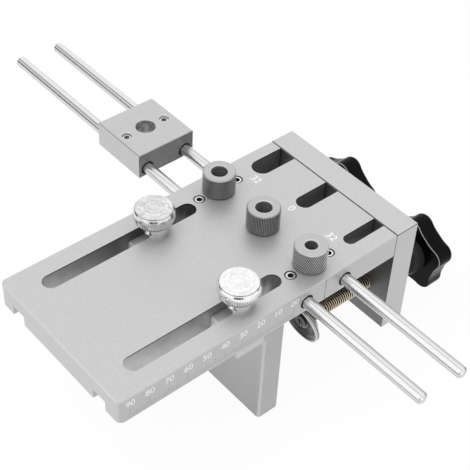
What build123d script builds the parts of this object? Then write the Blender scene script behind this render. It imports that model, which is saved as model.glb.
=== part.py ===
from build123d import *
import math
import os

# Self centering doweling jig, in millimetres.
# Origin: axis of the centre drill bush, in the plane of the base plate's underside.
# +X runs to the clamp end, +Y along the two guide rods, +Z up through the bushes.

# ---- base plate -------------------------------------------------------------
plate_t = 13.0              # thickness of the base plate
plate_w = 88.0              # width of the jig along Y
plate_tail = 115.0          # bush line to the free end of the plate
plate_nose = 45.0           # bush line to the end plate
plate_corner_r = 3.0        # rounded corners of the free end
edge_break = 0.4            # chamfer on the machined aluminium edges

slot_y = 30.0               # centre line of each long slot, either side of Y = 0
slot_w = 8.5                # width of the long slots
slot_tail = 101.5           # bush line to the far end of the slots
slot_nose = 16.5            # bush line to the near end of the slots
groove_depth = 5.5          # groove below each slot, open at the free end

window_far_w = 10.5         # sight windows, one in line with each bush
window_centre_w = 8.5
window_near_w = 6.5
window_start = 22.5         # bush line to the round end of each window

# ---- end plate --------------------------------------------------------------
end_t = 14.0                # thickness of the end plate
end_drop = 50.0             # how far it hangs below the base plate
cap_screw_y = 16.0          # the two screws that hold it, between the windows
cap_screw_r = 3.0
cap_head_r = 5.0
cap_head_h = 6.0
cap_head_gap = 0.5          # radial room round the head in its counterbore
cap_clearance = 0.3         # radial room round the shank in the end plate
cap_screw_grip = 15.0       # length of thread in the base plate
cap_key_af = 5.0            # hexagon key size
cap_key_depth = 3.0

# ---- guide rods -------------------------------------------------------------
rod_r = 3.0
rod_len = 303.0
rod_x = 11.75               # each rod's distance from the bush line
rod_z = 5.5                 # rod axis above the underside of the base plate
rod_fit = 0.05              # radial running clearance of a rod in its holes
rod_left_reach = 115.0      # bush axis to each rod's near end
rod_right_reach = 116.0
rod_end_r = 1.2             # rounded ends of the rods
rod_mouth = 0.7             # countersink where a rod enters

set_screw_y = 32.3          # rows of set screws over the rods
set_screw_r = 2.5
set_screw_gap = 0.3         # tip of the set screw above the rod
set_screw_len = 4.0
set_key_af = 2.5
set_key_depth = 2.0

# ---- drill bushes -----------------------------------------------------------
bush_pitch = 32.0
bush_head_r = 8.0
bush_head_h = 11.7
bush_shank_r = 6.0
bush_fit = 0.03             # radial clearance of the shank in the plate
bush_far_bore_r = 4.0
bush_centre_bore_r = 4.0
bush_near_bore_r = 3.0
bush_edge = 0.6
bush_mouth = 0.3            # chamfer at the top of the bore

# ---- guide block ------------------------------------------------------------
block_side = 34.0
block_y = 90.0              # centre of the block at rest
block_under = 4.2           # rod axis to the underside of the block
block_t = 14.0
block_bore_r = 5.0
block_mouth = 0.3
block_screw_len = 5.0

# ---- sliding stop -----------------------------------------------------------
stop_face_x = -24.0         # face that the workpiece bears on
stop_t = 12.5               # thickness of the hanging wall
stop_drop = 58.4
stop_corner_r = 1.8
flange_len = 28.5           # flange under the plate, from the stop face
flange_t = 4.0
slide_gap = 0.1             # between the flange and the plate
key_len = 24.0              # raised keys that run in the slots
key_side_gap = 0.15
key_h = 7.5                 # top of the keys above the underside of the plate
key_lead = 0.8              # chamfer on the ends of the keys

thumb_x = -40.4             # axis of the two thumbscrews
thumb_stud_r = 3.0
thumb_stud_fit = 0.05
thumb_stud_short = 0.5      # stud ends this far above the flange's underside
thumb_shoulder_r = 6.0
thumb_shoulder_h = 3.3
thumb_head_r = 10.0
thumb_head_h = 9.4
thumb_under = 3.0           # bevel under the head, radial
thumb_under_h = 2.4
thumb_top_r = 9.0           # where the domed top starts
thumb_top_h = 1.4
thumb_dome = 0.6

# ---- clamp screws -----------------------------------------------------------
clamp_y = 28.0
clamp_z = -30.3
clamp_r = 4.0               # M8 thread, outside
clamp_fit = 0.05            # radial running clearance in the end plate
clamp_mouth = 0.8
clamp_far_out = 2.8         # how far the far one is wound out from the near one
knob_near_turn = -4.0       # degrees of the lobes from upright
knob_far_turn = 1.7

pad_face_x = 2.0            # rim of the near pad at rest
pad_r = 12.0
pad_rim_w = 1.3             # flat face of the rim
pad_rim_h = 1.8
pad_step_h = 0.8            # step inside the rim
pad_wall = 1.5
pad_floor_r = 6.0
pad_depth = 3.55            # rim to the floor of the dish
pad_hole_r = 3.8
pad_droop = 12.0            # degrees the loose pad hangs down at rest

collar_r = 4.5              # flange of the collar that holds the pad
collar_t = 0.8
collar_sleeve_r = 3.0
collar_set = 1.5            # rim of the pad to the front of the collar
collar_len = 4.8            # front of the collar to the end of the clamp screw
collar_play = 0.1           # axial play of the collar at each end
tip_screw_r = 1.95
tip_screw_fit = 0.08
tip_screw_grip = 7.4         # thread of the tip screw inside the spindle
tip_tap_spare = 1.2
tip_head_r = 3.4
tip_head_h = 1.3
tip_head_edge = 0.4
tip_key_af = 2.0            # cross recess: length of each bar is twice this
tip_key_w = 0.9
tip_key_depth = 0.7

knob_front = 76.8           # rim of the pad to the front face of the knob
knob_t = 10.4
knob_tip_r = 20.1
knob_lobes = 5
knob_lobe_r = 6.0
knob_core_r = 16.4
knob_blend = 16.0           # blend between the lobes
knob_edge = 2.3             # rounded edge on the outer side
knob_front_edge = 0.7
knob_dome = 3.0
knob_hub_r = 10.0
knob_hub_h = 6.5
knob_hub_edge = 1.0
screw_in_knob = 12.0        # thread length held in the knob, from the hub face

# ---- derived ----------------------------------------------------------------
window_widths = {1: window_far_w, 0: window_centre_w, -1: window_near_w}
rod_reach = {-1: rod_left_reach, 1: rod_right_reach}
bush_bores = {"far": (1, bush_far_bore_r), "centre": (0, bush_centre_bore_r),
              "near": (-1, bush_near_bore_r)}
clamp_out = {"near": (-1, 0, knob_near_turn), "far": (1, clamp_far_out, knob_far_turn)}
                            # side, how far it is wound out, turn of the knob
half_w = plate_w / 2
plate_outer_x = plate_nose + end_t
rod_top_z = rod_z + rod_r
rod_hole_r = rod_r + rod_fit
block_z0 = rod_z - block_under
block_top_z = block_z0 + block_t
bush_hole_r = bush_shank_r + bush_fit
key_w = slot_w - 2 * key_side_gap
flange_x = stop_face_x - flange_len
flange_z = -slide_gap - flange_t
set_tip_z = rod_top_z + set_screw_gap
pad_pivot = pad_depth + pad_wall / 2
clamp_start = collar_set + collar_len
hub_face = knob_front - knob_hub_h


def block_of(x, y, z):
    """Plain block between the limits given as pairs."""
    centre = Pos((x[0] + x[1]) / 2, (y[0] + y[1]) / 2, (z[0] + z[1]) / 2)
    return centre * Box(x[1] - x[0], y[1] - y[0], z[1] - z[0])


def turned(profile):
    """Solid of revolution about Z from (radius, height) points."""
    outline = Polyline(*[(r, 0, h) for r, h in profile], close=True)
    return revolve(make_face(outline), Axis.Z)


def round_bar(radius, length, mouths=(0.0, 0.0)):
    """Bar or hole along Z from 0 to length, flared at each end by the mouths."""
    low, high = mouths
    profile = [(0, 0), (radius + low, 0), (radius, low),
               (radius, length - high), (radius + high, length), (0, length)]
    points = [p for i, p in enumerate(profile) if i == 0 or p != profile[i - 1]]
    return turned(points)


def hexagon(across_flats, depth):
    """Tool for a hexagon key, from Z = 0 down."""
    return extrude(RegularPolygon(across_flats / 2, 6, major_radius=False), -depth)


def along_y(x, z, y0):
    """Place a tool made along Z so that it runs along +Y from y0."""
    return Location((x, y0, z), (-90, 0, 0))


def along_x(y, z, x0):
    """Place a tool made along Z so that it runs along +X from x0."""
    return Location((x0, y, z), (0, 90, 0))


def rod_holes(y0, length):
    """The two cross holes for the guide rods, countersunk at both faces."""
    tool = round_bar(rod_hole_r, length, (rod_mouth, rod_mouth))
    return [along_y(side * rod_x, rod_z, y0) * tool for side in (-1, 1)]


def long_slots():
    """Through slots for the stop, with their grooves out to the free end."""
    length = slot_tail - slot_nose
    middle = -(slot_tail + slot_nose) / 2
    shape = extrude(SlotOverall(length, slot_w), plate_t)
    groove_end = -slot_tail + slot_w / 2
    tools = []
    for side in (-1, 1):
        y = side * slot_y
        tools.append(Pos(middle, y, 0) * shape)
        tools.append(block_of((-plate_tail, groove_end),
                              (y - slot_w / 2, y + slot_w / 2), (0, groove_depth)))
    return tools


def sight_windows():
    """Round-ended windows, open at the end plate."""
    tools = []
    for place, width in window_widths.items():
        y = place * bush_pitch
        end_x = window_start + width / 2
        end = Pos(end_x, y, 0) * extrude(Circle(width / 2), plate_t)
        run = block_of((end_x, plate_nose), (y - width / 2, y + width / 2), (0, plate_t))
        tools.append(end + run)
    return tools


def base_plate():
    outline = Rectangle(plate_tail + plate_nose, plate_w)
    outline = fillet(outline.vertices().group_by(Axis.X)[0], plate_corner_r)
    plate = Pos((plate_nose - plate_tail) / 2, 0, 0) * extrude(outline, plate_t)
    plate = chamfer(plate.faces().sort_by(Axis.Z)[-1].edges(), edge_break)
    tools = long_slots() + sight_windows() + rod_holes(-half_w, plate_w)
    for place in (-1, 0, 1):
        bush_hole = round_bar(bush_hole_r, plate_t)
        tools.append(Pos(0, place * bush_pitch, 0) * bush_hole)
    for side in (-1, 1):
        tools.append(along_x(side * cap_screw_y, plate_t / 2, plate_nose - cap_screw_grip)
                     * round_bar(cap_screw_r, cap_screw_grip))
        for row in (-1, 1):
            drop = plate_t - rod_z
            screw_hole = round_bar(set_screw_r, drop, (0, edge_break))
            tools.append(Pos(side * rod_x, row * set_screw_y, rod_z) * screw_hole)
    return plate - tools


def end_plate():
    plate = block_of((plate_nose, plate_outer_x), (-half_w, half_w), (-end_drop, plate_t))
    outer = plate.faces().sort_by(Axis.X)[-1].edges()
    top = plate.faces().sort_by(Axis.Z)[-1].edges().sort_by(Axis.X)[0]
    plate = chamfer(outer + [top], edge_break)
    clamp_hole = round_bar(clamp_r + clamp_fit, end_t, (clamp_mouth, clamp_mouth))
    screw_hole = round_bar(cap_screw_r + cap_clearance, end_t)
    counterbore = round_bar(cap_head_r + cap_head_gap, cap_head_h)
    for side in (-1, 1):
        plate -= along_x(side * clamp_y, clamp_z, plate_nose) * clamp_hole
        plate -= along_x(side * cap_screw_y, plate_t / 2, plate_nose) * screw_hole
        plate -= along_x(side * cap_screw_y, plate_t / 2,
                         plate_outer_x - cap_head_h) * counterbore
    return plate


def cap_screws():
    """Two socket head screws through the end plate into the base plate."""
    shank_len = cap_screw_grip + end_t - cap_head_h
    screw = turned([(0, 0), (cap_screw_r, 0), (cap_screw_r, shank_len),
                    (cap_head_r, shank_len), (cap_head_r, shank_len + cap_head_h),
                    (0, shank_len + cap_head_h)])
    screw -= Pos(0, 0, shank_len + cap_head_h) * hexagon(cap_key_af, cap_key_depth)
    start = plate_nose - cap_screw_grip
    return [along_x(side * cap_screw_y, plate_t / 2, start) * screw for side in (-1, 1)]


def guide_rod(side):
    rod = round_bar(rod_r, rod_len)
    rod = fillet(rod.edges().filter_by(GeomType.CIRCLE), rod_end_r)
    return along_y(side * rod_x, rod_z, -rod_reach[side]) * rod


def set_screw(length):
    """Set screw standing on its tip at Z = 0, with a hexagon socket on top."""
    screw = turned([(0, 0), (set_screw_r - edge_break, 0), (set_screw_r, edge_break),
                    (set_screw_r, length), (0, length)])
    return screw - Pos(0, 0, length) * hexagon(set_key_af, set_key_depth)


def rod_set_screws():
    """Four set screws that lock the rods in the base plate."""
    screw = set_screw(set_screw_len)
    return [Pos(side * rod_x, row * set_screw_y, set_tip_z) * screw
            for side in (-1, 1) for row in (-1, 1)]


def guide_block():
    low_y = block_y - block_side / 2
    half = block_side / 2
    block = block_of((-half, half), (low_y, low_y + block_side), (block_z0, block_top_z))
    block = chamfer(block.faces().sort_by(Axis.Z)[-1].edges(), edge_break)
    bore = round_bar(block_bore_r, block_t, (block_mouth, block_mouth))
    block -= Pos(0, block_y, block_z0) * bore
    for tool in rod_holes(low_y, block_side):
        block -= tool
    drop = block_top_z - rod_z
    for side in (-1, 1):
        screw_hole = round_bar(set_screw_r, drop, (0, edge_break))
        block -= Pos(side * rod_x, block_y, rod_z) * screw_hole
    return block


def guide_block_screws():
    """Two set screws that lock the guide block on the rods."""
    screw = set_screw(block_screw_len)
    return [Pos(side * rod_x, block_y, set_tip_z) * screw for side in (-1, 1)]


def drill_bush(place, bore_r):
    """Slip bush: knurled head on the plate, shank through to the underside."""
    top = plate_t + bush_head_h
    bush = turned([(0, 0), (bush_shank_r, 0), (bush_shank_r, plate_t),
                   (bush_head_r - bush_edge, plate_t),
                   (bush_head_r, plate_t + bush_edge), (bush_head_r, top - bush_edge),
                   (bush_head_r - bush_edge, top), (0, top)])
    bore = round_bar(bore_r, top, (0, bush_mouth))
    return Pos(0, place * bush_pitch, 0) * (bush - bore)


def stop_bracket():
    """Hanging wall and flange in one, with a key in each slot of the plate."""
    top = -slide_gap
    wall = block_of((stop_face_x - stop_t, stop_face_x), (-half_w, half_w),
                    (-stop_drop, top))
    wall = fillet(wall.edges().filter_by(Axis.Z), stop_corner_r)
    wall = chamfer(wall.faces().sort_by(Axis.Z)[0].edges(), edge_break)
    flange = block_of((flange_x, stop_face_x - stop_corner_r), (-half_w, half_w),
                      (flange_z, top))
    ends = flange.faces().sort_by(Axis.X)[0].edges()
    flange = chamfer(ends, edge_break)
    bracket = wall + flange
    for side in (-1, 1):
        y = side * slot_y
        key = block_of((flange_x, flange_x + key_len), (y - key_w / 2, y + key_w / 2),
                       (flange_z / 2, key_h))
        lips = key.faces().sort_by(Axis.Z)[-1].edges().filter_by(Axis.Y)
        bracket += chamfer(lips, key_lead)
    stud_hole = round_bar(thumb_stud_r + thumb_stud_fit, key_h - flange_z)
    for side in (-1, 1):
        bracket -= Pos(thumb_x, side * slot_y, flange_z) * stud_hole
    return bracket


def thumbscrew(side):
    """Knurled thumbscrew: shoulder on the plate, stud down through the key."""
    stud_z = flange_z + thumb_stud_short
    under_z = plate_t + thumb_shoulder_h
    rim_z = under_z + thumb_under_h
    crown_z = under_z + thumb_head_h - thumb_dome
    screw = turned([(0, stud_z), (thumb_stud_r, stud_z), (thumb_stud_r, plate_t),
                    (thumb_shoulder_r, plate_t), (thumb_shoulder_r, under_z),
                    (thumb_head_r - thumb_under, under_z), (thumb_head_r, rim_z),
                    (thumb_head_r, crown_z - thumb_top_h), (thumb_top_r, crown_z),
                    (thumb_top_r / 2, crown_z + 0.75 * thumb_dome),
                    (0, crown_z + thumb_dome)])
    return Pos(thumb_x, side * slot_y, 0) * screw


def clamp_place(name):
    """Clamp axis as a placement: local Z runs along +X, from the pad's rim."""
    side, wound_out, turn = clamp_out[name]
    return along_x(side * clamp_y, clamp_z, pad_face_x + wound_out)


def clamp_screw(name):
    """Threaded spindle; its end is tapped for the screw that holds the pad."""
    end = hub_face + screw_in_knob
    spindle = round_bar(clamp_r, end - clamp_start)
    spindle = chamfer(spindle.edges().filter_by(GeomType.CIRCLE), edge_break)
    tapped = round_bar(tip_screw_r, tip_screw_grip + tip_tap_spare)
    return clamp_place(name) * Pos(0, 0, clamp_start) * (spindle - tapped)


def tip_screw(name):
    """Cross recess screw that holds collar and pad on the spindle's end."""
    front = collar_set - collar_play
    head_z = front - tip_head_h
    end = clamp_start + tip_screw_grip
    screw = turned([(0, head_z), (tip_head_r - tip_head_edge, head_z),
                    (tip_head_r, head_z + tip_head_edge), (tip_head_r, front),
                    (tip_screw_r, front), (tip_screw_r, end), (0, end)])
    bars = [Rot(0, 0, turn) * Box(2 * tip_key_af, tip_key_w, 2 * tip_key_depth)
            for turn in (0, 90)]
    screw -= [Pos(0, 0, head_z) * bar for bar in bars]
    return clamp_place(name) * screw


def pad_collar(name):
    """Flanged sleeve on the tip screw, on which the pad rocks."""
    start = collar_set
    flange_end = start + collar_t
    end = clamp_start - collar_play
    bore_r = tip_screw_r + tip_screw_fit
    collar = turned([(bore_r, start), (collar_r, start), (collar_r, flange_end),
                     (collar_sleeve_r, flange_end), (collar_sleeve_r, end),
                     (bore_r, end)])
    return clamp_place(name) * collar


def pressure_pad(name):
    """Dished pad, loose on its collar, so it hangs tilted until it clamps."""
    rim_in = pad_r - pad_rim_w
    floor_back = pad_depth + pad_wall
    dish = turned([(rim_in, 0), (pad_r, 0), (pad_r, pad_rim_h),
                   (pad_floor_r + pad_wall, floor_back), (pad_hole_r, floor_back),
                   (pad_hole_r, pad_depth), (pad_floor_r, pad_depth),
                   (rim_in - pad_step_h, pad_step_h), (rim_in, pad_step_h)])
    rocked = Pos(0, 0, pad_pivot) * Rot(0, -pad_droop, 0) * Pos(0, 0, -pad_pivot) * dish
    return clamp_place(name) * rocked


def knob_outline():
    """Star with rounded lobes, blended into a round core."""
    shape = Circle(knob_core_r)
    reach = knob_tip_r - knob_lobe_r
    for lobe in range(knob_lobes):
        turn = Rot(0, 0, lobe * 360 / knob_lobes)
        shape += turn * Pos(reach, 0) * Circle(knob_lobe_r)
    return fillet(shape.vertices(), knob_blend)


def star_knob(name):
    """Moulded star knob: flat towards the screw, with a hub, and crowned outside."""
    turn = clamp_out[name][2]
    body = Pos(0, 0, knob_front) * extrude(knob_outline(), knob_t)
    body = fillet(body.faces().group_by(Axis.Z)[-1].edges(), knob_edge)
    body = fillet(body.faces().group_by(Axis.Z)[0].edges(), knob_front_edge)
    crown_r = knob_core_r - 2 * knob_edge
    crown_z = knob_front + knob_t
    crown = turned([(0, crown_z), (crown_r, crown_z),
                    (crown_r * 0.75, crown_z + knob_dome * 0.6),
                    (crown_r * 0.4, crown_z + knob_dome * 0.93),
                    (0, crown_z + knob_dome)])
    hub = turned([(0, hub_face), (knob_hub_r - knob_hub_edge, hub_face),
                  (knob_hub_r, hub_face + knob_hub_edge),
                  (knob_hub_r, knob_front + knob_front_edge),
                  (0, knob_front + knob_front_edge)])
    knob = body + crown + hub
    knob -= Pos(0, 0, hub_face) * round_bar(clamp_r, screw_in_knob)
    return clamp_place(name) * Rot(0, 0, 180 + turn) * knob


def write(node, solids):
    """One STEP file per node; a list of solids becomes one group."""
    pieces = solids if isinstance(solids, list) else [solids]
    found = [s for piece in pieces for s in piece.solids()]
    shape = found[0] if len(found) == 1 else Compound(children=found)
    shape.label = node
    export_step(shape, f"parts/{node}.step")


os.makedirs("parts", exist_ok=True)
write("base_plate", base_plate())
write("end_plate", end_plate())
write("end_plate_screws", cap_screws())
write("rod_set_screws", rod_set_screws())
write("guide_rod_left", guide_rod(-1))
write("guide_rod_right", guide_rod(1))
write("guide_block", guide_block())
write("guide_block_screws", guide_block_screws())
write("stop_bracket", stop_bracket())
for side, label in ((-1, "near"), (1, "far")):
    write(f"thumbscrew_{label}", thumbscrew(side))
for label, (place, bore_r) in bush_bores.items():
    write(f"drill_bush_{label}", drill_bush(place, bore_r))
for label in clamp_out:
    write(f"clamp_screw_{label}", clamp_screw(label))
    write(f"star_knob_{label}", star_knob(label))
    write(f"pressure_pad_{label}", pressure_pad(label))
    write(f"pad_collar_{label}", pad_collar(label))
    write(f"pad_screw_{label}", tip_screw(label))
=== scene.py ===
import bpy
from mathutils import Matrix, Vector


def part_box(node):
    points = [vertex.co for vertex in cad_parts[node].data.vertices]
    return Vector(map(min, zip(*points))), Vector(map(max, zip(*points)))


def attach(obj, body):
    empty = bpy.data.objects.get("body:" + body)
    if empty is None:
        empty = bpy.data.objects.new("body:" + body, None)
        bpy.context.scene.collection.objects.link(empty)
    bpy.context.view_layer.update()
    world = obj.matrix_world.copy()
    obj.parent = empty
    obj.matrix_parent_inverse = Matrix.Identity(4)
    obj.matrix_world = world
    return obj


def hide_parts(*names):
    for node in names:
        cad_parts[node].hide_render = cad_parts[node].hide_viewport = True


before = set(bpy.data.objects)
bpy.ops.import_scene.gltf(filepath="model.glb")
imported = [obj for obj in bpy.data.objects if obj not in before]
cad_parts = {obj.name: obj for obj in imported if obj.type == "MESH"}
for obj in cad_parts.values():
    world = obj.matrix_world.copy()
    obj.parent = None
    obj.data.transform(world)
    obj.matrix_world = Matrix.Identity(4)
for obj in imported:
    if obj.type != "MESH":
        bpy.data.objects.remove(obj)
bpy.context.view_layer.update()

import math
from functools import reduce

import bmesh
import bpy
from mathutils import Matrix, Vector


# ---- base plate --------------------------------------------------------------
# Milled aluminium plate, bead blasted and clear anodised to an even pale grey.
# Slots, sight windows and holes are cut through it; its edges are broken with a file.
MM = 0.001                   # sizes and places are written in millimetres


def box_mm(node):
    """Low and high corner of a CAD node in millimetres."""
    return [[round(value / MM, 2) for value in corner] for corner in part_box(node)]


def middle(node):
    """Centre of a CAD node's box in millimetres."""
    return [(low + high) / 2 for low, high in zip(*box_mm(node))]


(FREE_END_X, PLATE_NEAR_Y, _), (CLAMP_END_X, PLATE_FAR_Y, PLATE_TOP) = box_mm("base_plate")
SLOT_X = (-101.7, -16.0)     # spans that take in the walls of the slots and the windows
SLOT_Y = (25.5, 34.5)
SLOT_SHADE_X = (-101.0, -58.0)     # the painted shade on the slots' walls deepens between these
WINDOW_X = (22.0, CLAMP_END_X - 0.1)
WINDOW_Y = 38.0
ROD_X, _, ROD_Z = middle("guide_rod_right")
SET_SCREW_Y = 32.3
SCREW_MOUTH_R = 3.0          # a little more than the holes, to take in their walls
ROD_MOUTH_R = 3.8
EDGE_BREAK = 0.36            # width of a filed edge
BOTTOM_BREAK = 0.3
RIM_SHADE_LINE = 0.65              # depth of the painted shade line under the rims of slots and windows
JOINT_LINE = 0.4             # width of the line where the end plate meets the base plate
SKIN = 0.02                  # depth under a face at which the wall of a hole begins


def add(tree, kind, links=(), **settings):
    """A node with its settings; links are (own input, other output or value)."""
    node = tree.nodes.new(kind)
    for key, value in settings.items():
        setattr(node, key, value)
    for label, source in links:
        if isinstance(source, bpy.types.NodeSocket):
            tree.links.new(source, node.inputs[label])
        else:
            node.inputs[label].default_value = source
    return node


def math_node(tree, operation, a, b=0.0, clamp=False):
    """Output of a Math node on two sockets or numbers."""
    node = add(tree, "ShaderNodeMath", [(0, a), (1, b)], operation=operation, use_clamp=clamp)
    return node.outputs[0]


def below(tree, value, limit):
    """1 where the value is under a number, else 0."""
    return math_node(tree, "LESS_THAN", value, limit)


def above(tree, value, limit):
    """1 where the value is over a number, else 0."""
    return math_node(tree, "GREATER_THAN", value, limit)


def overlap(tree, *masks):
    """The product of several masks: where all of them lie."""
    return reduce(lambda a, b: math_node(tree, "MULTIPLY", a, b), masks)


def either(tree, *masks):
    """The largest of several masks: where any of them lies."""
    return reduce(lambda a, b: math_node(tree, "MAXIMUM", a, b), masks)


def inside(tree, value, low, high):
    """1 where the value lies between two numbers, else 0."""
    return overlap(tree, above(tree, value, low), below(tree, value, high))


def distance(tree, a, b, at_a, at_b):
    """Distance from a point, in the two given coordinates."""
    da = math_node(tree, "SUBTRACT", a, at_a)
    db = math_node(tree, "SUBTRACT", b, at_b)
    squares = math_node(tree, "ADD", math_node(tree, "MULTIPLY", da, da),
                        math_node(tree, "MULTIPLY", db, db))
    return math_node(tree, "SQRT", squares)


def near_point(tree, a, b, at_a, at_b, radius):
    """1 within a radius of a point, in the two given coordinates."""
    return below(tree, distance(tree, a, b, at_a, at_b), radius)


def spread(tree, value, low, high, to_low=0.0, to_high=1.0):
    """Value mapped from one range to another, clamped."""
    node = add(tree, "ShaderNodeMapRange",
               [("Value", value), ("From Min", low), ("From Max", high),
                ("To Min", to_low), ("To Max", to_high)])
    return node.outputs["Result"]


def noise_spread(tree, noise, to_low=0.0, to_high=1.0):
    """A noise, which mostly lies between 0.3 and 0.7, mapped to a whole range."""
    return spread(tree, noise, 0.3, 0.7, to_low, to_high)


def grey(level):
    """Linear RGBA grey from a screen level of 0 to 255."""
    value = level / 255
    linear = value / 12.92 if value <= 0.04045 else ((value + 0.055) / 1.055) ** 2.4
    return (linear, linear, linear, 1.0)


def blend_colours(tree, factor, a, b):
    """Colour between a and b; either may be a socket or an RGBA tuple."""
    return add(tree, "ShaderNodeMix", [(0, factor), (6, a), (7, b)], data_type="RGBA").outputs[2]


def grey_between(tree, factor, low, high):
    """Grey between two screen levels."""
    return blend_colours(tree, factor, grey(low), grey(high))


def new_group(name, inputs, outputs):
    """Shader node group on numbers; inputs are (name, default), outputs are names."""
    group = bpy.data.node_groups.new(name, "ShaderNodeTree")
    for label, default in inputs:
        socket = group.interface.new_socket(label, in_out="INPUT", socket_type="NodeSocketFloat")
        socket.default_value = default
    for label in outputs:
        group.interface.new_socket(label, in_out="OUTPUT", socket_type="NodeSocketFloat")
    return group, group.nodes.new("NodeGroupInput"), group.nodes.new("NodeGroupOutput")


def use_group(tree, group, **values):
    """A node group placed in a material with its own values."""
    node = tree.nodes.new("ShaderNodeGroup")
    node.node_tree = group
    for label, value in values.items():
        node.inputs[label.replace("_", " ")].default_value = value
    return node


def make_blast_grain():
    """Grain of bead-blasted or cast metal: a fine height and a cloudy stain."""
    group, given, out = new_group("blast_grain", [("Grain Size", 0.3), ("Cloud Size", 12.0)],
                                  ["Height", "Cloud"])
    place = group.nodes.new("ShaderNodeTexCoord").outputs["Object"]
    for size, detail, label in (("Grain Size", 2.0, "Height"), ("Cloud Size", 3.0, "Cloud")):
        scale = math_node(group, "DIVIDE", 1 / MM, given.outputs[size])
        noise = add(group, "ShaderNodeTexNoise",
                    [("Vector", place), ("Scale", scale), ("Detail", detail)])
        group.links.new(noise.outputs["Fac"], out.inputs[label])
    return group


def make_edge_wear():
    """Mask that is 1 on edges, where handling polishes the finish off."""
    group, given, out = new_group("edge_wear", [("Width mm", 0.3)], ["Edge"])
    width = math_node(group, "MULTIPLY", given.outputs["Width mm"], MM)
    rounded = add(group, "ShaderNodeBevel", [("Radius", width)], samples=4)
    flat = group.nodes.new("ShaderNodeNewGeometry").outputs["Normal"]
    alike = add(group, "ShaderNodeVectorMath",
                [(0, rounded.outputs["Normal"]), (1, flat)], operation="DOT_PRODUCT")
    edge = spread(group, alike.outputs["Value"], 0.995, 0.90)
    group.links.new(edge, out.inputs["Edge"])
    return group


def place_mm(tree):
    """Place on the piece in millimetres, as a vector."""
    place = tree.nodes.new("ShaderNodeTexCoord").outputs["Object"]
    return add(tree, "ShaderNodeVectorMath", [(0, place), (1, (1 / MM, 1 / MM, 1 / MM))],
               operation="MULTIPLY").outputs[0]


def make_place_and_facing():
    """Signed places in millimetres, and how far a face turns to each axis."""
    places, facings = ("X", "Y", "Z"), ("Facing X", "Facing Y", "Facing Z")
    group, _, out = new_group("place_and_facing", [], places + facings)
    normal = group.nodes.new("ShaderNodeNewGeometry").outputs["True Normal"]
    facing = add(group, "ShaderNodeVectorTransform", [(0, normal)],
                 vector_type="NORMAL", convert_from="WORLD", convert_to="OBJECT")
    for source, labels in ((place_mm(group), places), (facing.outputs[0], facings)):
        parts = add(group, "ShaderNodeSeparateXYZ", [(0, source)])
        for axis, label in zip("XYZ", labels):
            group.links.new(parts.outputs[axis], out.inputs[label])
    return group


blast_grain = make_blast_grain()
edge_wear = make_edge_wear()
place_and_facing = make_place_and_facing()


def upright_faces(tree, at):
    """1 on faces that stand upright, else 0, from the places and facings."""
    return inside(tree, at["Facing Z"], -0.5, 0.5)


def new_material(name, metallic, roughness):
    """Material with one Principled shader: (material, node tree, shader)."""
    material = bpy.data.materials.new(name)
    material.use_nodes = True
    tree = material.node_tree
    shader = tree.nodes["Principled BSDF"]
    shader.inputs["Metallic"].default_value = metallic
    shader.inputs["Roughness"].default_value = roughness
    return material, tree, shader


def add_bump(tree, shader, height, depth, strength):
    """Relief of a given depth in millimetres under the shader."""
    bump = add(tree, "ShaderNodeBump",
               [("Height", height), ("Distance", depth * MM), ("Strength", strength)])
    tree.links.new(bump.outputs["Normal"], shader.inputs["Normal"])


def add_grain(tree, shader, grain, cloud, depth, strength):
    """Relief of a fine grain under the shader; gives the cloudy stain that goes with it."""
    noise = use_group(tree, blast_grain, Grain_Size=grain, Cloud_Size=cloud).outputs
    add_bump(tree, shader, noise["Height"], depth, strength)
    return noise["Cloud"]


def stain(tree, size):
    """Cloudy stain with no relief."""
    return use_group(tree, blast_grain, Cloud_Size=size).outputs["Cloud"]


def paint(tree, shader, colour, mask, finish):
    """Lays another finish over a colour, fully where the mask is 1; gives the new colour."""
    over = blend_colours(tree, mask, colour, finish)
    tree.links.new(over, shader.inputs["Base Color"])
    return over


def dress(node, material):
    """Gives a carried-over CAD node its material."""
    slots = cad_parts[node].data.materials
    slots.clear()
    slots.append(material)


def blasted_aluminium(name, level):
    """Pale blasted aluminium, speckled by a few levels, brighter on its edges, with painted shade
    on faces turned to the near side.
    Gives (material, tree, shader, colour, places and facings), to paint the cuts over it."""
    material, tree, shader = new_material(name, 0.8, 0.45)
    at = use_group(tree, place_and_facing).outputs
    cloud = add_grain(tree, shader, grain=0.5, cloud=1.6, depth=0.01, strength=0.2)
    wear = use_group(tree, edge_wear, Width_mm=0.25)
    body = grey_between(tree, noise_spread(tree, cloud), level - 4, level + 4)
    # Painted shade: faces turned to the near side are a few levels darker.
    near_face_shade = below(tree, at["Facing Y"], -0.7)
    body = blend_colours(tree, near_face_shade, body, grey(level - 11))
    edge = math_node(tree, "MULTIPLY", wear.outputs["Edge"], 0.4)
    colour = paint(tree, shader, body, edge, grey(level + 24))
    tree.links.new(noise_spread(tree, cloud, 0.41, 0.5), shader.inputs["Roughness"])
    return material, tree, shader, colour, at


plate_metal, tree, shader, colour, at = blasted_aluminium("blasted_base_plate", 204)
side_x = math_node(tree, "ABSOLUTE", at["X"])
side_y = math_node(tree, "ABSOLUTE", at["Y"])
upright = upright_faces(tree, at)
in_slot = overlap(tree, inside(tree, side_y, *SLOT_Y), inside(tree, at["X"], *SLOT_X))
in_window = overlap(tree, below(tree, side_y, WINDOW_Y), inside(tree, at["X"], *WINDOW_X))
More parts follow.
